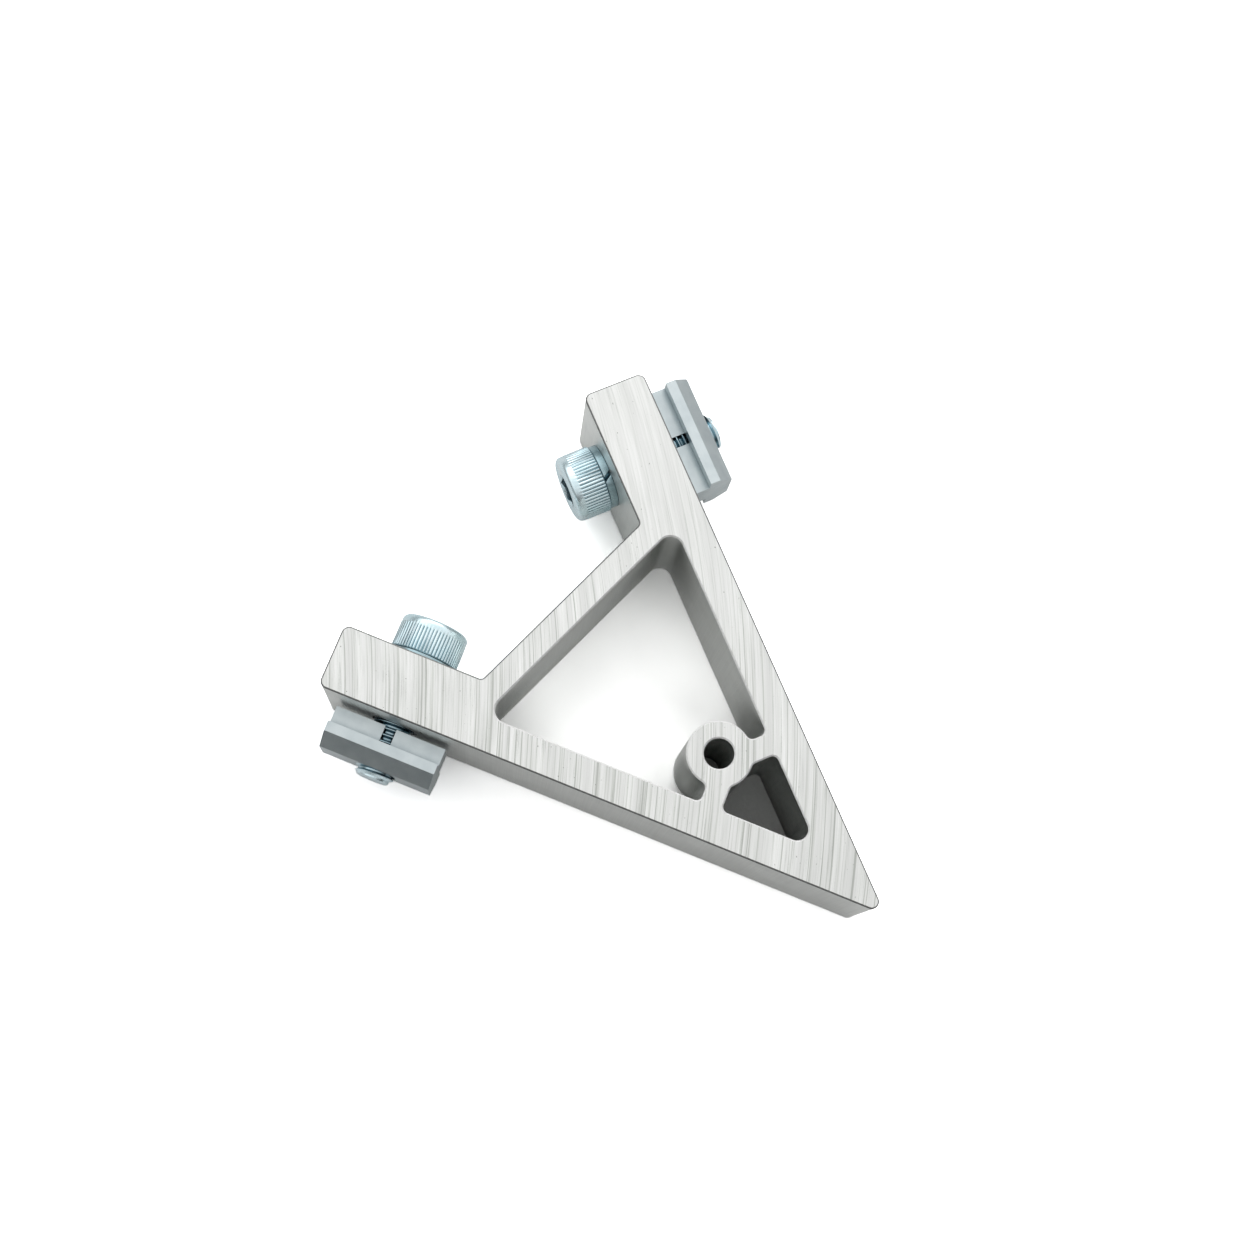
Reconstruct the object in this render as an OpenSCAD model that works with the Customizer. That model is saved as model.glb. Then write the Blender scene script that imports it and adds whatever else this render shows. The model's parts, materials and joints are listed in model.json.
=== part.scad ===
// Corner bracket for joining two slotted aluminium profiles at an angle of 45 degrees.
// The body is one extrusion, sawn to width, so its two flat sides are saw cuts.
// Each leg is held by a socket head cap screw with a split lock washer, and the
// screw runs into a nut that sits in the groove of the profile.
//
// Frame: millimetres. Z is the direction of extrusion and z = 0 is one sawn face.
// The origin is on the axis of the bore in the boss. The foot of leg 1 is
// parallel to X and faces -Y. Leg 2 is leg 1 mirrored in the plane between them.

/* [Bracket] */
// Angle between the two feet
leg_angle = 45; // [40:1:50]
// Length of a leg, from the corner where the two feet would meet
leg_len = 112; // [100:1:140]
// Width of the bracket, which is the length sawn off the extrusion
width = 26; // [22:1:36]
// Thickness of the flange that a screw goes through
flange_t = 12.4; // [10:0.2:15]
// Thickness of the leg walls round the openings
wall_t = 6.5; // [5:0.25:8]
// Length of a leg beyond the strut, which is the flange that its screw goes through
flange_len = 27.3; // [24:0.1:34]
// Thickness of the strut
strut_t = 5; // [4:0.25:7]

/* [Boss] */
// Distance from the corner to the axis of the boss
boss_dist = 42.3; // [41:0.1:44]
// Outer diameter of the boss
boss_d = 12.3; // [11.5:0.1:13]
// Thicker wall of the boss on the side toward the tip
boss_tip_t = 0.35; // [0:0.05:0.6]
// Bore of the boss
bore_d = 5.7; // [4:0.1:7]
// Thickness of the webs between the boss and the legs
web_t = 4.2; // [3:0.1:5]

/* [Rounding] */
// Radius of the tip where the legs meet
tip_r = 1.4; // [0.8:0.1:4]
// Radius at the ends of the legs
end_r = 1.5; // [0.5:0.1:3]
// Radius where the strut meets the flanges
strut_r = 1; // [0.5:0.1:2]
// Radius in the corners between the strut and the leg walls
opening_r = 2.5; // [1:0.1:4]
// Radius in the narrow end of the small opening
small_opening_r = 2.1; // [1:0.1:3]
// Radius where a web meets a leg wall
web_r = 1.2; // [0.5:0.1:1.4]
// Radius where a web meets the boss
boss_r = 1.3; // [0.5:0.1:1.6]

/* [Screw] */
// Nominal diameter of the screws
screw_d = 8; // [6:1:8]
// Length of a screw under its head
screw_len = 25; // [24:1:26]
// Distance from the end of leg 1 to its screw
screw_end_1 = 13; // [12:0.5:16]
// Distance from the end of leg 2 to its screw
screw_end_2 = 14.5; // [12:0.5:16]
// Diameter of a screw head
head_d = 13.3; // [12:0.1:14]
// Height of a screw head
head_h = 6.8; // [5.5:0.1:8]
// Radius on the upper edge of a screw head
head_r = 1.1; // [0.6:0.1:1.8]
// Height of the knurled band on a screw head
knurl_h = 3.9; // [3:0.1:4.3]
// Depth of the knurling
knurl_depth = 0.22; // [0.1:0.01:0.4]
// Number of ridges in the knurling
knurl_count = 60; // [40:2:80]
// Width of the hexagon socket across its flats
socket_w = 6; // [4:0.5:7]
// Depth of the hexagon socket
socket_depth = 4; // [2:0.1:4.5]
// Gap all round a screw in the hole of the bracket
screw_clearance = 0.5; // [0.2:0.1:1]

/* [Lock washer] */
// Outer diameter of a lock washer
washer_d = 12.7; // [12:0.1:14]
// Thickness of a lock washer
washer_t = 1.6; // [1.2:0.1:2]
// Gap all round a screw in its washer
washer_clearance = 0.1; // [0.05:0.05:0.3]
// Width of the split in a lock washer
split_w = 0.7; // [0.4:0.1:1.5]
// Angle of the split to the axis of the washer
split_angle = 35; // [0:1:40]
// Turn of the split round the screw, counted from the end of the leg
split_turn = 254; // [0:1:359]

/* [Slot nut] */
// Width of the slot in the profile
slot_w = 8; // [8:0.5:10]
// Thickness of the lips of the profile at the slot
lip_t = 4.5; // [4:0.1:6]
// Gap on each side of the neck of the nut in the slot
slot_clearance = 0.1; // [0.05:0.05:0.3]
// Distance from the face of the profile down to the neck of the nut
neck_drop = 1; // [0.5:0.1:2]
// Length of a nut along the profile
nut_len = 22; // [18:1:26]
// Width of a nut inside the profile
nut_w = 14; // [12:0.5:18]
// Height of a nut below the lips of the profile
nut_h = 4.8; // [4:0.1:5.5]
// Height of the upright sides of a nut, above its slanted sides
nut_side_h = 2; // [1:0.1:3]
// Gap all round a screw in the thread of its nut
thread_clearance = 0.05; // [0.02:0.01:0.1]
// Chamfer on the end of a screw
point_chamfer = 1; // [0.4:0.1:1.4]

/* [Hidden] */

// All circles are drawn finely enough to be true arcs
$fn = 96;
// Largest turn from one edge to the next on a rounding that is drawn as points
arc_step = 6;
// How far a cutting shape reaches past the surface that it cuts
over = 1;
// How far the ridges of the knurling reach into the head below it
knurl_root = 0.1;
// Room above the screw head for the tool that cuts its socket
head_room = 2;

half_angle = leg_angle / 2;

// The corner where the feet would meet, seen from the axis of the boss
corner = -boss_dist * [cos(half_angle), sin(half_angle)];

// The axis of the boss in the frame of a leg
boss_along = boss_dist * cos(half_angle);
boss_up = boss_dist * sin(half_angle);
boss_axis = [boss_along, boss_up];

// Each web stands square on its leg, with its outer face below the axis of the boss
web_far = boss_along;
web_near = web_far - web_t;

// Where the strut meets the flanges, and its distance from the corner to its outer face
strut_foot = leg_len - flange_len;
strut_dist = strut_foot * cos(half_angle) + flange_t * sin(half_angle);

// Where the strut meets the leg walls, and where the leg walls would meet each other
opening_foot = (strut_dist - strut_t - wall_t * sin(half_angle)) / cos(half_angle);
walls_meet = wall_t / tan(half_angle);

// Height above the underside of a screw head at which its knurling starts
knurl_bottom = 0.5;

// A point given along and up from the foot of a leg, in the frame of the corner
function on_leg(leg, along, up) =
    leg == 1
        ? [along, up]
        : [along * cos(leg_angle) + up * sin(leg_angle), along * sin(leg_angle) - up * cos(leg_angle)];

// The same point on the other leg, mirrored in the plane between the legs
function mirrored(points) = [for (i = [len(points) - 1 : -1 : 0]) on_leg(2, points[i][0], points[i][1])];

function unit(v) = v / norm(v);

function angle_of(v) = atan2(v[1], v[0]);

// Points on an arc that starts at angle from and turns by sweep, both ends included
function arc(centre, r, from, sweep) =
    let (steps = ceil(abs(sweep) / arc_step))
        [for (i = [0 : steps]) centre + r * [cos(from + sweep * i / steps), sin(from + sweep * i / steps)]];

// Points that round the corner p, with the neighbouring corners before and after it
function rounded(before, p, after, r) =
    let (
        a = unit(before - p),
        b = unit(after - p),
        half = acos(a * b) / 2,
        centre = p + unit(a + b) * r / sin(half),
        from = angle_of(p + a * r / tan(half) - centre),
        to = angle_of(p + b * r / tan(half) - centre)
    )
        arc(centre, r, from, (to - from + 900) % 360 - 180);

// Where an arc of radius boss_r touches both a face of a web and the boss, as the centre of
// the arc. side is 1 for the face toward the strut and -1 for the face toward the tip.
function web_arc_centre(face, side, boss_side) =
    let (centre_along = face + side * boss_r)
        [centre_along, boss_up - sqrt(pow(boss_side + boss_r, 2) - pow(centre_along - boss_along, 2))];

// The outer outline, half of it on leg 1
function half_outline() =
    let (
        end_low = [leg_len, 0],
        end_high = [leg_len, flange_t],
        foot = [strut_foot, flange_t]
    )
        concat(
            rounded([0, 0], end_low, end_high, end_r),
            rounded(end_low, end_high, foot, end_r),
            rounded(end_high, foot, on_leg(2, strut_foot, flange_t), strut_r)
        );

function outline() =
    concat(
        rounded(on_leg(2, leg_len, 0), [0, 0], [leg_len, 0], tip_r),
        half_outline(),
        mirrored(half_outline())
    );

// The large opening. The boss stands in its narrow corner, so its edge runs from the strut
// along the leg wall to the web, up the web and round the boss to the other leg.
function large_opening() =
    let (
        foot = [opening_foot, wall_t],
        web_foot = [web_far, wall_t],
        web_arc = web_arc_centre(web_far, 1, boss_d / 2),
        to_boss = angle_of(boss_axis - web_arc),
        half = concat(
            rounded(on_leg(2, opening_foot, wall_t), foot, web_foot, opening_r),
            rounded(foot, web_foot, [web_far, boss_up], web_r),
            arc(web_arc, boss_r, 180, to_boss - 180)
        ),
        from = to_boss - 180,
        round_boss = arc(boss_axis, boss_d / 2, from, leg_angle - 2 * from)
    )
        concat(half, inner_points(round_boss), mirrored(half));

// The small opening between the webs, the boss and the tip
function small_opening() =
    let (
        foot = on_leg(1, walls_meet, wall_t),
        web_foot = [web_near, wall_t],
        boss_side = boss_d / 2 + boss_tip_t,
        web_arc = web_arc_centre(web_near, -1, boss_side),
        to_boss = angle_of(boss_axis - web_arc),
        half = concat(
            rounded(foot, web_foot, [web_near, boss_up], web_r),
            arc(web_arc, boss_r, 0, to_boss)
        ),
        from = to_boss - 180,
        round_boss = arc(boss_axis, boss_side, from, leg_angle - 2 * from - 360)
    )
        concat(
            rounded(on_leg(2, web_near, wall_t), foot, web_foot, small_opening_r),
            half,
            inner_points(round_boss),
            mirrored(half)
        );

// All points but the first and the last
function inner_points(points) = [for (i = [1 : len(points) - 2]) points[i]];

// The section of the extrusion
module section() {
    difference() {
        polygon(outline());
        polygon(large_opening());
        polygon(small_opening());
        translate(boss_axis)
            circle(d = bore_d);
    }
}

// Puts its children at the screw of a leg. Their z = 0 is the face that the foot stands
// on and their Z points up through the flange.
module at_screw(leg) {
    turn = leg == 1 ? 0 : leg_angle;
    lean = leg == 1 ? -90 : 90;
    along = leg_len - (leg == 1 ? screw_end_1 : screw_end_2);
    translate(corner)
        rotate(turn)
            translate([along, 0, width / 2])
                rotate([lean, 0, 0])
                    children();
}

module bracket_body() {
    color("silver")
        difference() {
            translate(corner)
                linear_extrude(height = width)
                    section();
            for (leg = [1, 2])
                at_screw(leg)
                    translate([0, 0, -over])
                        cylinder(h = flange_t + 2 * over, d = screw_d + 2 * screw_clearance);
        }
}

// The ridges on the head as a star. The valleys of the star are sunk in the head.
function knurl_points() = [
    for (i = [0 : 2 * knurl_count - 1])
        let (r = head_d / 2 - (i % 2) * (knurl_depth + knurl_root), a = i * 180 / knurl_count)
            [r * cos(a), r * sin(a)]
];

// A screw with the underside of its head at z = 0
module head_screw() {
    smooth_r = head_d / 2 - knurl_depth;
    color("lightsteelblue")
        difference() {
            union() {
                rotate_extrude()
                    polygon(concat(
                        [
                            [0, -screw_len],
                            [screw_d / 2 - point_chamfer, -screw_len],
                            [screw_d / 2, point_chamfer - screw_len],
                            [screw_d / 2, 0],
                            [smooth_r - knurl_bottom / 2, 0],
                            [smooth_r, knurl_bottom / 2]
                        ],
                        rounded([smooth_r, 0], [smooth_r, head_h], [0, head_h], head_r),
                        [[0, head_h]]
                    ));
                translate([0, 0, knurl_bottom])
                    linear_extrude(height = knurl_h)
                        polygon(knurl_points());
            }
            translate([0, 0, head_h - socket_depth])
                cylinder(h = socket_depth + head_room, d = socket_w / cos(30), $fn = 6);
        }
}

// A flat ring with a slanted split, with its underside at z = 0
module lock_washer() {
    color("lightsteelblue")
        difference() {
            cylinder(h = washer_t, d = washer_d);
            translate([0, 0, -over])
                cylinder(h = washer_t + 2 * over, d = screw_d + 2 * washer_clearance);
            rotate(split_turn)
                translate([washer_d / 2, 0, washer_t / 2])
                    rotate([split_angle, 0, 0])
                        cube([washer_d, split_w, 4 * washer_t], center = true);
        }
}

// The slot nut, with z = 0 at the face of the profile and X along the slot
module slot_nut() {
    neck_w = slot_w - 2 * slot_clearance;
    slant = nut_h - nut_side_h;
    color("gainsboro")
        difference() {
            rotate([90, 0, 90])
                linear_extrude(height = nut_len, center = true)
                    polygon([
                        [-neck_w / 2, -neck_drop],
                        [-neck_w / 2, -lip_t],
                        [-nut_w / 2, -lip_t],
                        [-nut_w / 2, -lip_t - nut_side_h],
                        [-nut_w / 2 + slant, -lip_t - nut_h],
                        [nut_w / 2 - slant, -lip_t - nut_h],
                        [nut_w / 2, -lip_t - nut_side_h],
                        [nut_w / 2, -lip_t],
                        [neck_w / 2, -lip_t],
                        [neck_w / 2, -neck_drop]
                    ]);
            translate([0, 0, -lip_t - nut_h - over])
                cylinder(h = lip_t + nut_h + 2 * over, d = screw_d + 2 * thread_clearance);
        }
}

module screw_on(leg) {
    at_screw(leg)
        translate([0, 0, flange_t + washer_t])
            head_screw();
}

module washer_on(leg) {
    at_screw(leg)
        translate([0, 0, flange_t])
            lock_washer();
}

module nut_on(leg) {
    at_screw(leg)
        slot_nut();
}

bracket_body();
screw_on(1);  // head_screw_1
screw_on(2);  // head_screw_2
washer_on(1);  // lock_washer_1
washer_on(2);  // lock_washer_2
nut_on(1);  // slot_nut_1
nut_on(2);  // slot_nut_2
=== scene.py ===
# %% [markdown]
# # A corner bracket for slotted profiles
# The real object is a slice sawn off an aluminium extrusion. Two legs at 45 degrees
# carry a cap screw each, with a split lock washer above the flange and a slot nut below.
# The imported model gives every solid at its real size. This script gives each of them
# its finish and the small forms that the eye looks for: broken edges, saw marks,
# knurling and threads. All lengths in Blender are metres.

# %% Load the frame
import json
import math
import bpy
from mathutils import Matrix, Vector

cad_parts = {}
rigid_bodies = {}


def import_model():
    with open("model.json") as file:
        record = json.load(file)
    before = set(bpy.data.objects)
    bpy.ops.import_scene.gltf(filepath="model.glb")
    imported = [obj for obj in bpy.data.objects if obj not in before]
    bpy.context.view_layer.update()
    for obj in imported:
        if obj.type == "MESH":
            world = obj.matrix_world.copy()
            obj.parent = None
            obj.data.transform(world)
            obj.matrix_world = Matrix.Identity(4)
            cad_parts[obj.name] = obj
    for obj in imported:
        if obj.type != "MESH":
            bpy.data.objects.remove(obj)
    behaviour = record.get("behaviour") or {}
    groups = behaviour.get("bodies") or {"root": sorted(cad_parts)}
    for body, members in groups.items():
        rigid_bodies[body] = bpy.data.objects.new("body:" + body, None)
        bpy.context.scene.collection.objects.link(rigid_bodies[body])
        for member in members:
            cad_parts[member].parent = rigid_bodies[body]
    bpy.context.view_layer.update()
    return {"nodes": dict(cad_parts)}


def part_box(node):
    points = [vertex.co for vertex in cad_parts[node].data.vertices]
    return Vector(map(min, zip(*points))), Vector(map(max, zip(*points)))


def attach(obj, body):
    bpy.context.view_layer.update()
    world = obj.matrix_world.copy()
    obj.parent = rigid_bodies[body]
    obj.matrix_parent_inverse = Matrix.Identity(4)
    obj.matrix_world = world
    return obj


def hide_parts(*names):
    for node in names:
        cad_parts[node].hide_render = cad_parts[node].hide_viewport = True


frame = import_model()
print("solids of the frame:", ", ".join(sorted(frame["nodes"])))

# %% Units and selection
MM = 0.001


def nothing_selected():
    for thing in bpy.context.selected_objects:
        thing.select_set(False)
    bpy.context.view_layer.objects.active = None


def only_selected(piece):
    nothing_selected()
    piece.select_set(True)
    bpy.context.view_layer.objects.active = piece


# %% [markdown]
# ## Colours and nodes
# Colours are easiest to judge as the hex values of a picture editor, but a shader
# works with linear light. One function turns the one into the other. A second small
# function adds a shader node with its settings, links and colour stops, so that each
# material reads as a list of what it is made of.

# %% Helpers for materials
def linear(hex_colour):
    channels = [int(hex_colour[i:i + 2], 16) / 255 for i in (1, 3, 5)]
    return [c / 12.92 if c <= 0.04045 else ((c + 0.055) / 1.055) ** 2.4 for c in channels] + [1.0]


def new_material(name):
    material = bpy.data.materials.new(name)
    material.use_nodes = True
    material.node_tree.nodes.clear()
    return material, material.node_tree


def add(tree, kind, inputs=None, stops=(), **settings):
    node = tree.nodes.new(kind)
    for name, value in settings.items():
        setattr(node, name, value)
    for socket, value in (inputs or {}).items():
        if isinstance(value, bpy.types.NodeSocket):
            tree.links.new(value, node.inputs[socket])
        else:
            node.inputs[socket].default_value = value
    if stops:
        points = node.color_ramp.elements
        while len(points) < len(stops):
            points.new(0.5)
        for point, (place, colour) in zip(points, stops):
            point.position = place
            point.color = linear(colour)
    return node


print("mid grey in linear light:", round(linear("#808080")[0], 3))

# %% [markdown]
# ## Sawn aluminium
# The two flat sides of the bracket are saw cuts. A large circular blade leaves arcs on
# them, all with the same far centre, so every pattern here is drawn in the distance
# from that centre. There are three: fine streaks about 0.4 mm apart and 14 mm long,
# darker cuts that run much further, and broad bands in which the streaks are bolder.
# A few short specks break the lines. The end of leg 1 is worn smooth, so the lines fade
# toward it. The eye reads all this as a fresh cut in bright metal, not as paint.

# %% Lay out the saw marks
SAW_CENTRE_MM = (90, 186)
SAW_RADIUS_MM = 190
STREAK_LENGTH_MM = 14


def saw_pattern(tree, place):
    from_centre = add(tree, "ShaderNodeMapping", {
        "Vector": place, "Scale": (1 / MM, 1 / MM, 1 / MM),
        "Location": (-SAW_CENTRE_MM[0], -SAW_CENTRE_MM[1], 0)}).outputs[0]
    wobble = add(tree, "ShaderNodeTexNoise", {
        "Vector": from_centre, "Scale": 0.03, "Detail": 0.0}).outputs["Fac"]
    flat = add(tree, "ShaderNodeVectorMath", {
        0: from_centre, 1: (1, 1, 0)}, operation="MULTIPLY").outputs[0]
    distance = add(tree, "ShaderNodeVectorMath", {0: flat}, operation="LENGTH").outputs["Value"]
    radius = add(tree, "ShaderNodeMath", {
        0: wobble, 1: 1.0, 2: distance}, operation="MULTIPLY_ADD").outputs[0]
    parts = add(tree, "ShaderNodeSeparateXYZ", {"Vector": from_centre}).outputs
    turn = add(tree, "ShaderNodeMath", {0: parts["Y"], 1: parts["X"]}, operation="ARCTAN2").outputs[0]
    along = add(tree, "ShaderNodeMath", {
        0: turn, 1: SAW_RADIUS_MM / STREAK_LENGTH_MM}, operation="MULTIPLY").outputs[0]
    return radius, along


def lines(tree, radius, along, per_mm, stretch, detail, seed):
    across = add(tree, "ShaderNodeMath", {0: radius, 1: per_mm}, operation="MULTIPLY").outputs[0]
    length = add(tree, "ShaderNodeMath", {0: along, 1: stretch}, operation="MULTIPLY").outputs[0]
    vector = add(tree, "ShaderNodeCombineXYZ", {"X": across, "Y": length, "Z": seed}).outputs[0]
    return add(tree, "ShaderNodeTexNoise", {
        "Vector": vector, "Scale": 1.0, "Detail": detail, "Roughness": 0.6}).outputs["Fac"]


# %% Make sawn aluminium
SAW_LINES_PER_MM = 2.6
CUTS_PER_MM = 2.8
BANDS_PER_MM = 0.45
SPECKS_PER_MM = 2.0
SAW_GRAINS_PER_MM = 3.5
WORN_MM = -75
FRESH_MM = -20


def make_sawn_aluminium():
    material, tree = new_material("sawn aluminium")
    place = add(tree, "ShaderNodeTexCoord").outputs["Object"]
    radius, along = saw_pattern(tree, place)

    # Fine streaks, with the grain of the cut in them
    fine = lines(tree, radius, along, SAW_LINES_PER_MM, stretch=1.0, detail=3.0, seed=0.0)
    grain = add(tree, "ShaderNodeTexNoise", {
        "Vector": place, "Scale": SAW_GRAINS_PER_MM / MM, "Detail": 1.0}).outputs["Fac"]
    streaks = add(tree, "ShaderNodeMath", {
        0: grain, 1: 0.12, 2: fine}, operation="MULTIPLY_ADD").outputs[0]
    streaked = add(tree, "ShaderNodeValToRGB", {"Fac": streaks}, stops=[
        (0.34, "#c6c8c5"), (0.47, "#e7e9e6"), (0.60, "#f0f1ef"), (0.82, "#fcfcfc")]).outputs[0]

    # Broad bands make them bolder, and they fade toward the worn end of leg 1
    bands = lines(tree, radius, along, BANDS_PER_MM, stretch=0.15, detail=1.0, seed=40.0)
    bold = add(tree, "ShaderNodeMapRange", {
        "Value": bands, "From Min": 0.35, "From Max": 0.65, "To Min": 0.4, "To Max": 1.1}).outputs[0]
    from_end = add(tree, "ShaderNodeVectorMath", {
        0: place, 1: (-1, 1, 0)}, operation="DOT_PRODUCT").outputs["Value"]
    fresh = add(tree, "ShaderNodeMapRange", {
        "Value": from_end, "From Min": WORN_MM * MM, "From Max": FRESH_MM * MM,
        "To Min": 0.0, "To Max": 1.0}).outputs[0]
    fade = add(tree, "ShaderNodeMath", {0: fresh, 1: 0.3, 2: 0.6}, operation="MULTIPLY_ADD").outputs[0]
    strength = add(tree, "ShaderNodeMath", {0: bold, 1: fade}, operation="MULTIPLY").outputs[0]
    banded = add(tree, "ShaderNodeMix", {
        0: strength, 6: linear("#d7d8d6"), 7: streaked},
        data_type="RGBA", clamp_factor=False).outputs[2]

    # Longer and darker cuts, and short specks that break the lines
    cuts = lines(tree, radius, along, CUTS_PER_MM, stretch=0.12, detail=1.0, seed=70.0)
    cut_line = add(tree, "ShaderNodeValToRGB", {"Fac": cuts}, stops=[
        (0.30, "#d0d2cf"), (0.40, "#f0f1ef"), (0.47, "#ffffff")]).outputs[0]
    shown = add(tree, "ShaderNodeMath", {
        0: fresh, 1: 0.85, 2: 0.15}, operation="MULTIPLY_ADD").outputs[0]
    cut_through = add(tree, "ShaderNodeMix", {
        0: shown, 6: banded, 7: cut_line}, data_type="RGBA", blend_type="MULTIPLY").outputs[2]
    specks = lines(tree, radius, along, SPECKS_PER_MM, stretch=14.0, detail=1.0, seed=90.0)
    speck = add(tree, "ShaderNodeValToRGB", {"Fac": specks}, stops=[
        (0.20, "#a3a4a1"), (0.26, "#ffffff")]).outputs[0]
    colour = add(tree, "ShaderNodeMix", {
        0: 1.0, 6: cut_through, 7: speck}, data_type="RGBA", blend_type="MULTIPLY").outputs[2]

    rough = add(tree, "ShaderNodeMapRange", {
        "Value": fine, "From Min": 0.3, "From Max": 0.7, "To Min": 0.30, "To Max": 0.42}).outputs[0]
    bump = add(tree, "ShaderNodeBump", {
        "Height": streaks, "Strength": 0.35, "Distance": 0.05 * MM}).outputs[0]
    shader = add(tree, "ShaderNodeBsdfPrincipled", {
        "Base Color": colour, "Metallic": 1.0, "Roughness": rough, "Normal": bump})
    add(tree, "ShaderNodeOutputMaterial", {"Surface": shader.outputs[0]})
    return material


sawn_aluminium = make_sawn_aluminium()
print("saw lines every", round(1 / SAW_LINES_PER_MM, 2), "mm")

# %% [markdown]
# ## Extruded aluminium
# The other faces come out of the die and are not machined. They are satin, with very
# fine die lines that run the way the metal left the die, which is along Z. A noise that
# is stretched far along Z draws them. Where the walls of an opening stand close together
# the skin is painted darker, as shade in the inner corners, and in the bore it is painted
# lighter again. The corner between a saw cut and a wall is broken with a scraper. In the
# openings that leaves a narrow strip of bare metal, painted near white to stand in for its
# glint. Round the outline the strip keeps its dull skin, painted dark grey as a line of shade.

# %% Make extruded aluminium
DIE_LINES_PER_MM = 5
DIE_LINE_STRETCH = 125
SKIN_CLOUDS_PER_MM = 0.16
NEAR_WALL_MM = 20


def make_extruded_aluminium():
    material, tree = new_material("extruded aluminium")
    place = add(tree, "ShaderNodeTexCoord").outputs["Object"]
    drawn = add(tree, "ShaderNodeMapping", {
        "Vector": place, "Scale": (1 / MM, 1 / MM, 1 / MM / DIE_LINE_STRETCH)}).outputs[0]
    die_lines = add(tree, "ShaderNodeTexNoise", {
        "Vector": drawn, "Scale": DIE_LINES_PER_MM, "Detail": 3.0}).outputs["Fac"]
    cloud = add(tree, "ShaderNodeTexNoise", {
        "Vector": place, "Scale": SKIN_CLOUDS_PER_MM / MM, "Detail": 2.0}).outputs["Fac"]
    both = add(tree, "ShaderNodeMath", {
        0: cloud, 1: 0.5, 2: die_lines}, operation="MULTIPLY_ADD").outputs[0]
    skin = add(tree, "ShaderNodeValToRGB", {"Fac": both}, stops=[
        (0.45, "#e1e3e0"), (0.75, "#eaece9"), (1.0, "#f2f4f1")]).outputs[0]

    # Painted shade: darker in the inner corners, and painted lighter again in the bore, where the walls
    # would light one another
    open_side = add(tree, "ShaderNodeAmbientOcclusion", {
        "Distance": NEAR_WALL_MM * MM}, samples=8, only_local=True).outputs["AO"]
    painted_shade_tone = add(tree, "ShaderNodeValToRGB", {"Fac": open_side}, stops=[
        (0.0, "#ffffff"), (0.18, "#d6d8d7"), (0.44, "#a0a2a1"), (0.76, "#ffffff")]).outputs[0]
    colour = add(tree, "ShaderNodeMix", {
        0: 1.0, 6: skin, 7: painted_shade_tone}, data_type="RGBA", blend_type="MULTIPLY").outputs[2]

    rough = add(tree, "ShaderNodeMapRange", {
        "Value": die_lines, "From Min": 0.3, "From Max": 0.7,
        "To Min": 0.30, "To Max": 0.42}).outputs[0]
    bump = add(tree, "ShaderNodeBump", {
        "Height": die_lines, "Strength": 0.25, "Distance": 0.02 * MM}).outputs[0]
    shader = add(tree, "ShaderNodeBsdfPrincipled", {
        "Base Color": colour, "Metallic": 0.84, "Roughness": rough, "Normal": bump})
    add(tree, "ShaderNodeOutputMaterial", {"Surface": shader.outputs[0]})
    return material


extruded_aluminium = make_extruded_aluminium()
print("die lines every", 1 / DIE_LINES_PER_MM, "mm, about", DIE_LINE_STRETCH / DIE_LINES_PER_MM, "mm long")

# %% Make the edges of aluminium
SCRAPES_PER_MM = 1.8


def make_edge(name, dark, light, metallic, roughness):
    material, tree = new_material(name)
    place = add(tree, "ShaderNodeTexCoord").outputs["Object"]
    marks = add(tree, "ShaderNodeTexNoise", {
        "Vector": place, "Scale": SCRAPES_PER_MM / MM, "Detail": 2.0}).outputs["Fac"]
    colour = add(tree, "ShaderNodeValToRGB", {"Fac": marks}, stops=[(0.35, dark), (0.6, light)])
    shader = add(tree, "ShaderNodeBsdfPrincipled", {
        "Base Color": colour.outputs[0], "Metallic": metallic, "Roughness": roughness})
    add(tree, "ShaderNodeOutputMaterial", {"Surface": shader.outputs[0]})
    return material


# Painted highlight: the scraped strip is bare metal, painted near white and only partly metallic to stand
# in for the glint on it
scraped_edge_with_glint = make_edge(
    "scraped aluminium edge with painted glint", "#ececea", "#ffffff", metallic=0.25, roughness=0.5)
# Painted shade: the strip round the outline is painted dark grey, as a line of shade along it
shaded_outline_edge = make_edge(
    "aluminium outline edge with painted shade", "#8a8b8a", "#9e9f9e", metallic=1.0, roughness=0.5)
print("edges:", scraped_edge_with_glint.name, "and", shaded_outline_edge.name)

# %% [markdown]
# ## Zinc plated steel
# Screws, washers and nuts are steel with a thin bright coat of zinc, passivated to a
# pale blue. The coat is smooth but not a mirror, with faint clouds where it is thicker.
# The blue is the colour of the metal itself, so it belongs in the base colour. Where other
# metal stands close by, in the socket, between a head and its flange and in the grooves of
# the knurl, the colour is painted darker and bluer as shade.

# %% Make zinc plated steel
ZINC_CLOUDS_PER_MM = 0.3
ZINC_GRAINS_PER_MM = 6


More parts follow.
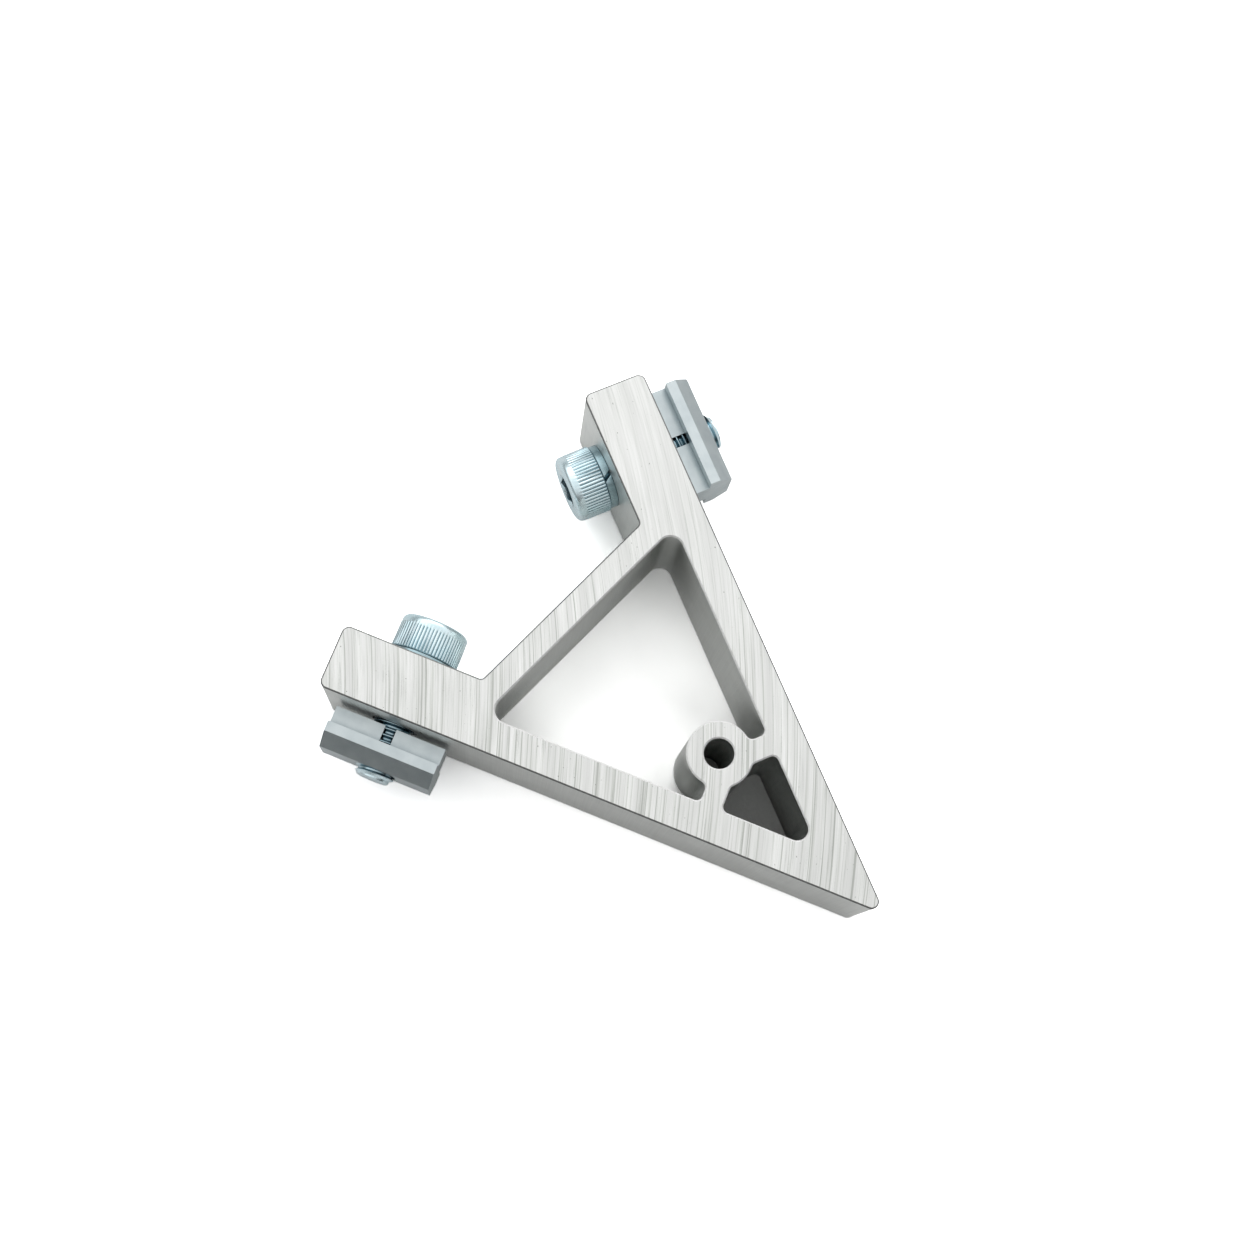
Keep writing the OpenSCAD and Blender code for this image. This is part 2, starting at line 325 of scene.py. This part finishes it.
def make_zinc(name, dark, light, roughness, shade_reach_mm):
    material, tree = new_material(name)
    place = add(tree, "ShaderNodeTexCoord").outputs["Object"]
    clouds = add(tree, "ShaderNodeTexNoise", {
        "Vector": place, "Scale": ZINC_CLOUDS_PER_MM / MM, "Detail": 4.0}).outputs["Fac"]
    grain = add(tree, "ShaderNodeTexNoise", {
        "Vector": place, "Scale": ZINC_GRAINS_PER_MM / MM, "Detail": 1.0}).outputs["Fac"]
    coat = add(tree, "ShaderNodeValToRGB", {"Fac": clouds}, stops=[(0.32, dark), (0.66, light)])

    # Painted shade: darker and bluer where other metal stands close by
    open_air = add(tree, "ShaderNodeAmbientOcclusion", {
        "Distance": shade_reach_mm * MM}, samples=8).outputs["AO"]
    painted_shade_tone = add(tree, "ShaderNodeValToRGB", {"Fac": open_air}, stops=[
        (0.10, "#5f7d89"), (0.84, "#ffffff")])
    colour = add(tree, "ShaderNodeMix", {
        0: 1.0, 6: coat.outputs[0], 7: painted_shade_tone.outputs[0]},
        data_type="RGBA", blend_type="MULTIPLY").outputs[2]

    rough = add(tree, "ShaderNodeMapRange", {
        "Value": grain, "From Min": 0.3, "From Max": 0.7,
        "To Min": roughness - 0.04, "To Max": roughness + 0.05}).outputs[0]
    bump = add(tree, "ShaderNodeBump", {
        "Height": grain, "Strength": 0.03, "Distance": 0.004 * MM}).outputs[0]
    shader = add(tree, "ShaderNodeBsdfPrincipled", {
        "Base Color": colour, "Metallic": 1.0, "Roughness": rough, "Normal": bump})
    add(tree, "ShaderNodeOutputMaterial", {"Surface": shader.outputs[0]})
    return material


screw_zinc = make_zinc(
    "blue zinc on a cap screw", "#d9f2f9", "#eafaff", roughness=0.28, shade_reach_mm=8)
# Painted shade: the faces at the bottom of the knurl grooves get a darker zinc
knurl_groove_shade_zinc = make_zinc(
    "blue zinc painted darker in the knurl grooves as shade", "#6a8f9c", "#86a9b5", roughness=0.4, shade_reach_mm=8)
washer_zinc = make_zinc(
    "blue zinc on a lock washer", "#b4d0d8", "#cbe1e7", roughness=0.3, shade_reach_mm=4)
nut_zinc = make_zinc(
    "clear zinc on a slot nut", "#c3cdd0", "#d0d9db", roughness=0.34, shade_reach_mm=2)
print("materials:", ", ".join(sorted(m.name for m in bpy.data.materials)))

# %% [markdown]
# ## The bracket
# The solid of the frame already has the right outline, so its mesh is copied, and its
# loose triangles are merged into one skin. What it lacks is the broken edge that every
# sawn part gets, and without which metal looks like paper. Both sawn faces are moved in
# by the width of the edge, and then inset and raised again by the same amount, which
# leaves a strip at 45 degrees all round them. Two small functions do the same kind of
# work for the other pieces: one bevels sharp edges, one sets smooth shading so that
# large flat faces stay flat.

# %% Helpers for edit mode
def select_points(piece, wanted):
    bpy.ops.object.mode_set(mode="OBJECT")
    for part in (piece.data.polygons, piece.data.edges):
        for item in part:
            item.select = False
    count = 0
    for point in piece.data.vertices:
        point.select = bool(wanted(point.co))
        count += point.select
    bpy.ops.object.mode_set(mode="EDIT")
    bpy.ops.mesh.select_mode(type="VERT")
    return count


def extrude_up(height, scale=1.0):
    bpy.ops.mesh.extrude_region_move(TRANSFORM_OT_translate={"value": (0, 0, height)})
    if scale != 1.0:
        bpy.ops.transform.resize(value=(scale, scale, 1))


def near(a, b):
    return abs(a - b) < 0.002 * MM


# %% Copy a solid of the frame
def copy_of_node(node, name):
    piece = frame["nodes"][node].copy()
    piece.data = piece.data.copy()
    piece.name = piece.data.name = name
    for key in list(piece.keys()):
        del piece[key]
    piece.parent = None
    bpy.context.scene.collection.objects.link(piece)
    piece.data.materials.clear()
    only_selected(piece)
    bpy.ops.object.mode_set(mode="EDIT")
    bpy.ops.mesh.select_all(action="SELECT")
    bpy.ops.mesh.remove_doubles(threshold=0.001 * MM)
    bpy.ops.mesh.dissolve_limited(angle_limit=math.radians(0.5))
    bpy.ops.object.mode_set(mode="OBJECT")
    return piece


def break_edges(piece, width_mm, sharper_than_deg, segments):
    bevel = piece.modifiers.new("broken edges", "BEVEL")
    bevel.width = width_mm * MM
    bevel.segments = segments
    bevel.limit_method = "ANGLE"
    bevel.angle_limit = math.radians(sharper_than_deg)
    bevel.use_clamp_overlap = True
    only_selected(piece)
    bpy.ops.object.modifier_apply(modifier=bevel.name)


def smooth_shading(piece, up_to_deg):
    only_selected(piece)
    bpy.ops.object.shade_smooth_by_angle(angle=math.radians(up_to_deg))
    weighted = piece.modifiers.new("flat faces stay flat", "WEIGHTED_NORMAL")
    weighted.mode = "FACE_AREA"
    weighted.weight = 100
    weighted.keep_sharp = True
    bpy.ops.object.modifier_apply(modifier=weighted.name)


# %% Make the bracket
EDGE_MM = 0.28

bracket = copy_of_node("bracket_body", "bracket")
for finish in (extruded_aluminium, sawn_aluminium, scraped_edge_with_glint, shaded_outline_edge):
    bracket.data.materials.append(finish)
EXTRUDED, SAWN, SCRAPED_GLINT, SHADED_OUTLINE = 0, 1, 2, 3
width = bracket.dimensions.z
for level, outward in ((width, 1), (0, -1)):
    select_points(bracket, lambda p: near(p.z, level))
    bpy.ops.transform.translate(value=(0, 0, -outward * EDGE_MM * MM))
    bpy.ops.mesh.select_mode(type="FACE")
    bpy.ops.mesh.inset(thickness=EDGE_MM * MM, depth=EDGE_MM * MM, use_even_offset=True)
    bpy.ops.object.mode_set(mode="OBJECT")
# Flat faces are sawn, the 45 degree strip gets the scraped edge with its painted glint, and the walls are
# extruded
for face in bracket.data.polygons:
    flatness = abs(face.normal.z)
    face.material_index = SAWN if flatness > 0.95 else SCRAPED_GLINT if flatness > 0.3 else EXTRUDED
print("sawn faces:", sum(f.material_index == SAWN for f in bracket.data.polygons),
      "edge faces:", sum(f.material_index == SCRAPED_GLINT for f in bracket.data.polygons))

# %% Give the edge strip round the outline its dull skin and painted shade
# Painted shade: the strip round the outline gets the dark grey edge material
for upper in (False, True):
    strip = [f for f in bracket.data.polygons
             if f.material_index == SCRAPED_GLINT and (f.center.z > width / 2) == upper]
    first = max(strip, key=lambda f: f.center.x).index
    select_points(bracket, lambda p: False)
    bpy.ops.mesh.select_mode(type="FACE")
    bpy.ops.object.mode_set(mode="OBJECT")
    bracket.data.polygons[first].select = True
    bpy.ops.object.mode_set(mode="EDIT")
    bpy.ops.mesh.select_linked(delimit={"MATERIAL"})
    bracket.active_material_index = SHADED_OUTLINE
    bpy.ops.object.material_slot_assign()
    bpy.ops.object.mode_set(mode="OBJECT")
print("skin edge faces:", sum(f.material_index == SHADED_OUTLINE for f in bracket.data.polygons))
smooth_shading(bracket, 30)
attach(bracket, "root")
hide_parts("bracket_body")
print("bracket:", len(bracket.data.polygons), "faces")

# %% [markdown]
# ## The cap screws
# A cap screw is forged, knurled and rolled. Its head is a cylinder with a rounded upper
# edge, a straight knurl on its lower part and a hexagon socket. It is built upright at
# the origin, with its underside at zero, from a circle that is extruded up ring by ring.
# The circle has four points for each ridge of the knurl. Two of the four are drawn in,
# and that leaves a groove between two ridges.

# %% Sizes of a screw
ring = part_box("lock_washer_1")
screw_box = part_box("head_screw_1")
WASHER_T = ring[1].y - ring[0].y
HEAD_R = (screw_box[1].x - screw_box[0].x) / 2
HEAD_HEIGHT = 6.8 * MM
SCREW_LENGTH = screw_box[1].y - screw_box[0].y - HEAD_HEIGHT
SHOULDER_R = 1.1 * MM
KNURL_TOP = 5.1 * MM
KNURL_DEPTH = 0.13 * MM
RIDGES = 60
SOCKET_WIDTH = 6 * MM
SOCKET_DEPTH = 4 * MM
print("screw:", round(SCREW_LENGTH / MM, 2), "mm under a head of", round(2 * HEAD_R / MM, 2), "mm")

# %% Build the head
RIDGE_OUT = 0.05 * MM
UNDER_EDGE = 0.15 * MM
RUN_IN = 0.05 * MM
RUN_OUT = 0.2 * MM
SHOULDER_STEPS = 6

smooth_r = HEAD_R - RIDGE_OUT
low_r = smooth_r - UNDER_EDGE
nothing_selected()
bpy.ops.mesh.primitive_circle_add(vertices=4 * RIDGES, radius=low_r, fill_type="NGON")
head = bpy.context.object
bpy.ops.object.mode_set(mode="EDIT")
bpy.ops.mesh.select_all(action="SELECT")
extrude_up(UNDER_EDGE, smooth_r / low_r)
extrude_up(RUN_IN, HEAD_R / smooth_r)
extrude_up(KNURL_TOP - UNDER_EDGE - RUN_IN - RUN_OUT)
extrude_up(RUN_OUT, smooth_r / HEAD_R)
extrude_up(HEAD_HEIGHT - KNURL_TOP)
bpy.ops.mesh.region_to_loop()
bpy.ops.mesh.bevel(offset=SHOULDER_R, segments=SHOULDER_STEPS, affect="EDGES")
bpy.ops.object.mode_set(mode="OBJECT")
print("head:", len(head.data.polygons), "faces")


# %% Draw in the grooves of the knurl
def in_groove(point):
    on_band = near(math.hypot(point.x, point.y), HEAD_R)
    step = round(math.atan2(point.y, point.x) / (2 * math.pi) * 4 * RIDGES) % 4
    return on_band and step in (2, 3)


groove_r = HEAD_R - KNURL_DEPTH
drawn_in = select_points(head, in_groove)
bpy.ops.transform.resize(value=(groove_r / HEAD_R, groove_r / HEAD_R, 1), center_override=(0, 0, 0))
bpy.ops.object.mode_set(mode="OBJECT")
print("knurl:", RIDGES, "ridges, with", drawn_in, "points drawn in")

# %% [markdown]
# ## The socket
# The punch that forms the socket has six sides and a blunt point, and a countersink
# breaks the rim. Two cutters take the same forms from the head: the punch with its
# point, and then a cone.

# %% Helper for cutting
def cut(piece, cutter):
    boolean = piece.modifiers.new("cut", "BOOLEAN")
    boolean.operation = "DIFFERENCE"
    boolean.solver = "EXACT"
    boolean.object = cutter
    only_selected(piece)
    bpy.ops.object.modifier_apply(modifier=boolean.name)
    bpy.data.objects.remove(cutter)


# %% Cut the socket
PUNCH_SPARE = 2 * MM
PUNCH_POINT = 0.9 * MM
PUNCH_TIP_SHARE = 0.25

corner_r = SOCKET_WIDTH / 2 / math.cos(math.radians(30))
nothing_selected()
bpy.ops.mesh.primitive_cylinder_add(
    vertices=6, radius=corner_r, depth=SOCKET_DEPTH + PUNCH_SPARE,
    location=(0, 0, HEAD_HEIGHT + (PUNCH_SPARE - SOCKET_DEPTH) / 2))
punch = bpy.context.object
bpy.ops.object.transform_apply(location=True, rotation=True, scale=True)
select_points(punch, lambda p: p.z < HEAD_HEIGHT - SOCKET_DEPTH + 0.1 * MM)
bpy.ops.mesh.extrude_region_move(TRANSFORM_OT_translate={"value": (0, 0, -PUNCH_POINT)})
bpy.ops.transform.resize(value=(PUNCH_TIP_SHARE, PUNCH_TIP_SHARE, 1))
bpy.ops.object.mode_set(mode="OBJECT")
cut(head, punch)
print("socket:", SOCKET_WIDTH / MM, "mm wide,", SOCKET_DEPTH / MM, "mm deep")

# %% Countersink the socket
CONE_HEIGHT = 1.75 * MM
CONE_DEPTH = 0.525 * MM
CONE_INSIDE = 0.6 * MM

cone_low_r = corner_r - CONE_INSIDE
nothing_selected()
bpy.ops.mesh.primitive_cone_add(
    vertices=96, radius1=cone_low_r, radius2=cone_low_r + CONE_HEIGHT, depth=CONE_HEIGHT,
    location=(0, 0, HEAD_HEIGHT + CONE_HEIGHT / 2 - CONE_DEPTH))
countersink = bpy.context.object
bpy.ops.object.transform_apply(location=True, rotation=True, scale=True)
cut(head, countersink)
print("head with socket:", len(head.data.polygons), "faces")

# %% [markdown]
# ## The thread
# An M8 thread climbs 1.25 mm a turn. A smooth core runs inside it, and the ridge is one
# trapezium that the Screw modifier winds round the core. Near the point the ridge is
# drawn in to the chamfer of the screw.

# %% Build the shank
PITCH = 1.25 * MM
CREST_R = 3.95 * MM
CORE_R = 3.25 * MM
PLAIN_SHANK = 3.5 * MM
POINT = 1.0 * MM
CORE_EDGE = 0.35 * MM
INTO_HEAD = 0.1 * MM
ROUND_STEPS = 48

nothing_selected()
bpy.ops.mesh.primitive_cylinder_add(
    vertices=ROUND_STEPS, radius=CORE_R, depth=SCREW_LENGTH, location=(0, 0, -SCREW_LENGTH / 2))
core = bpy.context.object
bpy.ops.object.transform_apply(location=True, rotation=True, scale=True)
select_points(core, lambda p: near(p.z, -SCREW_LENGTH))
bpy.ops.mesh.bevel(offset=CORE_EDGE, segments=2, affect="EDGES")
bpy.ops.object.mode_set(mode="OBJECT")

nothing_selected()
bpy.ops.mesh.primitive_cylinder_add(
    vertices=ROUND_STEPS, radius=CREST_R, depth=PLAIN_SHANK + INTO_HEAD,
    location=(0, 0, (INTO_HEAD - PLAIN_SHANK) / 2))
neck = bpy.context.object
bpy.ops.object.transform_apply(location=True, rotation=True, scale=True)
print("shank:", round(SCREW_LENGTH / MM, 2), "mm, of which", PLAIN_SHANK / MM, "mm without thread")

# %% Wind the thread
turns = int((SCREW_LENGTH - PLAIN_SHANK) / PITCH)
root_r = CORE_R - 0.1 * MM
half_crest = PITCH / 16
half_root = half_crest + (CREST_R - root_r) * math.tan(math.radians(30))
nothing_selected()
bpy.ops.mesh.primitive_plane_add(size=1)
thread = bpy.context.object
start = -SCREW_LENGTH + half_root
corners = [(root_r, -half_root), (CREST_R, -half_crest), (root_r, half_root), (CREST_R, half_crest)]
for point, (r, z) in zip(thread.data.vertices, corners):
    point.co = (r, 0, start + z)
winding = thread.modifiers.new("winding", "SCREW")
winding.axis = "Z"
winding.angle = 2 * math.pi
winding.screw_offset = PITCH
winding.iterations = turns
winding.steps = winding.render_steps = ROUND_STEPS
winding.use_merge_vertices = False
winding.use_normal_calculate = True
only_selected(thread)
bpy.ops.object.modifier_apply(modifier=winding.name)
print("thread:", turns, "turns,", len(thread.data.polygons), "faces")

# %% Close the ends of the thread and chamfer its point
bpy.ops.object.mode_set(mode="EDIT")
bpy.ops.mesh.select_all(action="SELECT")
bpy.ops.mesh.delete_loose()
bpy.ops.mesh.select_all(action="SELECT")
bpy.ops.mesh.fill_holes(sides=4)
bpy.ops.mesh.select_all(action="SELECT")
bpy.ops.mesh.normals_make_consistent(inside=False)
bpy.ops.object.mode_set(mode="OBJECT")
for point in thread.data.vertices:
    r = math.hypot(point.co.x, point.co.y)
    allowed = CREST_R - POINT + (point.co.z + SCREW_LENGTH)
    if r > allowed:
        point.co.x *= allowed / r
        point.co.y *= allowed / r
print("thread: drawn in to a chamfer of", POINT / MM, "mm")

# %% [markdown]
# ## The screws in their places
# Head, core, neck and thread are joined to one screw, which is copied. A screw stands on
# its washer, so the middle of the washer and the direction of the leg give its place.
# Each screw was driven until it was tight, so each is turned by an angle of its own.

# %% Join the parts of a screw
only_selected(head)
for part in (core, neck, thread):
    part.select_set(True)
bpy.ops.object.join()
head.data.materials.clear()
head.data.materials.append(screw_zinc)
head.data.materials.append(knurl_groove_shade_zinc)
# Painted shade: faces at the bottom of the knurl grooves take the darker zinc
for face in head.data.polygons:
    middle_r = math.hypot(face.center.x, face.center.y)
    on_band = UNDER_EDGE + RUN_IN < face.center.z < KNURL_TOP - RUN_OUT / 2
    in_bottom = groove_r - 0.1 * MM < middle_r < groove_r + 0.02 * MM
    face.material_index = 1 if on_band and in_bottom else 0
only_selected(head)
bpy.ops.object.shade_smooth_by_angle(angle=math.radians(28))
print("screw:", len(head.data.polygons), "faces, of which",
      sum(f.material_index for f in head.data.polygons), "lie in the grooves")

# %% Place the screws
LEG_TURN = math.radians(45)
UP_OF_LEG = {1: Vector((0, 1, 0)), 2: Vector((math.sin(LEG_TURN), -math.cos(LEG_TURN), 0))}
SCREW_TURN_DEG = {1: 12, 2: 0}


def place_on_leg(piece, leg, turn_deg):
    low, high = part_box(f"lock_washer_{leg}")
    up = UP_OF_LEG[leg]
    turn = Matrix.Rotation(math.radians(turn_deg), 4, "Z")
    lean = up.to_track_quat("Z", "Y").to_matrix().to_4x4()
    seat = (low + high) / 2 + up * WASHER_T / 2
    piece.matrix_world = Matrix.Translation(seat) @ lean @ turn
    only_selected(piece)
    bpy.ops.object.transform_apply(location=True, rotation=True, scale=True)


for leg in (2, 1):
    screw = head
    if leg == 2:
        screw = head.copy()
        screw.data = head.data.copy()
        bpy.context.scene.collection.objects.link(screw)
    screw.name = screw.data.name = f"cap_screw_{leg}"
    place_on_leg(screw, leg, SCREW_TURN_DEG[leg])
    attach(screw, "root")
    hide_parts(f"head_screw_{leg}")
    print(screw.name, "has", len(screw.data.polygons), "faces")

# %% [markdown]
# ## Washers and nuts
# A split lock washer is a coil of square wire, cut and hardened, and its edges are a
# little round. A slot nut is rolled to its section and cut off. Both are copied from
# the frame and get their own edges.

# %% Make the washers and nuts
for leg in (1, 2):
    washer = copy_of_node(f"lock_washer_{leg}", f"split_washer_{leg}")
    washer.data.materials.append(washer_zinc)
    break_edges(washer, width_mm=0.15, sharper_than_deg=40, segments=2)
    smooth_shading(washer, 40)
    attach(washer, "root")
    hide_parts(f"lock_washer_{leg}")

    nut = copy_of_node(f"slot_nut_{leg}", f"groove_nut_{leg}")
    nut.data.materials.append(nut_zinc)
    break_edges(nut, width_mm=0.25, sharper_than_deg=25, segments=2)
    smooth_shading(nut, 35)
    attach(nut, "root")
    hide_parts(f"slot_nut_{leg}")
    print(washer.name, len(washer.data.polygons), "faces,", nut.name, len(nut.data.polygons), "faces")

# %% [markdown]
# ## Floor and light
# The photograph has a white ground with a soft grey shadow close to the part. A white
# floor gives the same, greyer only where the part shuts out the sky. The camera sees it
# whiter than the metal does, so that the upright walls keep their darker tone.
#
# The light is a wide soft sky. It is dim toward the horizon and brighter on the side of
# leg 1's end, which models the round heads, and one large soft box on that side gives
# the shadows their direction.

# %% Make the floor
FLOOR_GAIN = 2.5
MIRRORED_SHARE = 0.14
FIBRES_PER_MM = 0.9
SHADOW_REACH_MM = 35

nothing_selected()
bpy.ops.mesh.primitive_plane_add(size=3.0, location=(0, 0, -0.05 * MM))
floor = bpy.context.object
floor.name = "floor"
paper, tree = new_material("white paper")
place = add(tree, "ShaderNodeTexCoord").outputs["Object"]
fibres = add(tree, "ShaderNodeTexNoise", {
    "Vector": place, "Scale": FIBRES_PER_MM / MM, "Detail": 2.0}).outputs["Fac"]
white = add(tree, "ShaderNodeValToRGB", {"Fac": fibres}, stops=[
    (0.3, "#f4f4f4"), (0.7, "#f8f8f8")]).outputs[0]

# The camera sees the paper in full light, and polished metal only a share of it
rays = add(tree, "ShaderNodeLightPath").outputs
in_metal = add(tree, "ShaderNodeMath", {
    0: rays["Is Glossy Ray"], 1: rays["Is Transmission Ray"]}, operation="MAXIMUM").outputs[0]
in_metal = add(tree, "ShaderNodeMath", {
    0: in_metal, 1: MIRRORED_SHARE}, operation="MULTIPLY").outputs[0]
seen = add(tree, "ShaderNodeMath", {
    0: rays["Is Camera Ray"], 1: in_metal}, operation="ADD").outputs[0]
gain = add(tree, "ShaderNodeMapRange", {
    "Value": seen, "To Min": 0.5, "To Max": FLOOR_GAIN}, clamp=False).outputs[0]
lit = add(tree, "ShaderNodeVectorMath", {0: white, "Scale": gain}, operation="SCALE").outputs[0]

# The soft shadow, where the part stands over the paper
open_sky = add(tree, "ShaderNodeAmbientOcclusion", {
    "Distance": SHADOW_REACH_MM * MM}, samples=8).outputs["AO"]
contact = add(tree, "ShaderNodeMapRange", {
    "Value": open_sky, "From Min": 0.13, "From Max": 0.34, "To Min": 0.28, "To Max": 1.0}).outputs[0]
depth = add(tree, "ShaderNodeMapRange", {
    "Value": open_sky, "From Min": 0.04, "From Max": 0.18, "To Min": 0.25, "To Max": 1.0}).outputs[0]
shadow = add(tree, "ShaderNodeMix", {
    0: rays["Is Camera Ray"], 2: depth, 3: contact}).outputs[0]
shaded = add(tree, "ShaderNodeVectorMath", {0: lit, "Scale": shadow}, operation="SCALE").outputs[0]
matt = add(tree, "ShaderNodeBsdfDiffuse", {"Color": shaded})
add(tree, "ShaderNodeOutputMaterial", {"Surface": matt.outputs[0]})
floor.data.materials.append(paper)
print("floor:", floor.dimensions.x, "m wide")

# %% Light the scene
BRIGHT_SIDE = (0.95, -0.15, 0.0)
SKY_STRENGTH = 1.4

world = bpy.data.worlds.new("studio")
bpy.context.scene.world = world
world.use_nodes = True
tree = world.node_tree
tree.nodes.clear()
direction = add(tree, "ShaderNodeTexCoord").outputs["Generated"]
height = add(tree, "ShaderNodeSeparateXYZ", {"Vector": direction}).outputs["Z"]
sky = add(tree, "ShaderNodeValToRGB", {"Fac": height}, stops=[
    (0.0, "#6a6c6c"), (0.36, "#828484"), (0.56, "#ffffff"),
    (0.82, "#ffffff"), (0.92, "#f4f4f4"), (1.0, "#f0f0f0")]).outputs[0]

# Squaring the share of the bright side keeps the middle of the sky even
side = add(tree, "ShaderNodeVectorMath", {
    0: direction, 1: BRIGHT_SIDE}, operation="DOT_PRODUCT").outputs["Value"]
amount = add(tree, "ShaderNodeMath", {0: side}, operation="ABSOLUTE").outputs[0]
squared = add(tree, "ShaderNodeMath", {0: side, 1: amount}, operation="MULTIPLY").outputs[0]
slope = add(tree, "ShaderNodeMapRange", {
    "Value": squared, "From Min": -0.7, "From Max": 0.7, "To Min": 0.0, "To Max": 1.45}).outputs[0]
sloped = add(tree, "ShaderNodeVectorMath", {0: sky, "Scale": slope}, operation="SCALE").outputs[0]

# Where the camera looks past the floor it sees plain white
rays = add(tree, "ShaderNodeLightPath").outputs
shade = add(tree, "ShaderNodeMix", {
    0: rays["Is Camera Ray"], 6: sloped, 7: (1, 1, 1, 1)}, data_type="RGBA").outputs[2]
background = add(tree, "ShaderNodeBackground", {"Color": shade, "Strength": SKY_STRENGTH})
add(tree, "ShaderNodeOutputWorld", {"Surface": background.outputs[0]})
print("sky:", world.name, "with strength", SKY_STRENGTH)

# %% Add the side light
SIDE_LIGHT_PLACE = (0.6, -0.45, 0.4)
SIDE_LIGHT_SIZE = (0.5, 0.4)
SIDE_LIGHT_POWER = 1.5
AIM = (0.02, 0.02, 0.01)

lamp = bpy.data.lights.new("side light", "AREA")
lamp.shape = "RECTANGLE"
lamp.size, lamp.size_y = SIDE_LIGHT_SIZE
lamp.energy = SIDE_LIGHT_POWER
light = bpy.data.objects.new("side light", lamp)
bpy.context.scene.collection.objects.link(light)
light.location = SIDE_LIGHT_PLACE
beam = Vector(AIM) - Vector(SIDE_LIGHT_PLACE)
light.rotation_euler = beam.to_track_quat("-Z", "Y").to_euler()
print("side light:", SIDE_LIGHT_POWER, "W from", round(beam.length, 2), "m")

# %% [markdown]
# ## The camera
# The photograph looks almost straight down on the sawn side, from about 37 cm, with a
# longish lens. The place and turn were found by fitting the corners of the bracket in
# the picture.

# %% Set the camera
CAMERA_PLACE_MM = (-31.62, 58.91, 389.45)
CAMERA_TURN_DEG = (11.772, -3.863, -113.330)
LENS_MM = 57.42

lens = bpy.data.cameras.new("camera")
lens.sensor_width = 36
lens.lens = LENS_MM
lens.clip_start, lens.clip_end = 0.01, 10
camera = bpy.data.objects.new("camera", lens)
bpy.context.scene.collection.objects.link(camera)
camera.location = Vector(CAMERA_PLACE_MM) * MM
camera.rotation_euler = [math.radians(a) for a in CAMERA_TURN_DEG]
bpy.context.scene.camera = camera
bpy.context.scene.view_settings.view_transform = "Standard"
print("camera:", LENS_MM, "mm lens,", round(camera.location.z / MM), "mm above the paper")
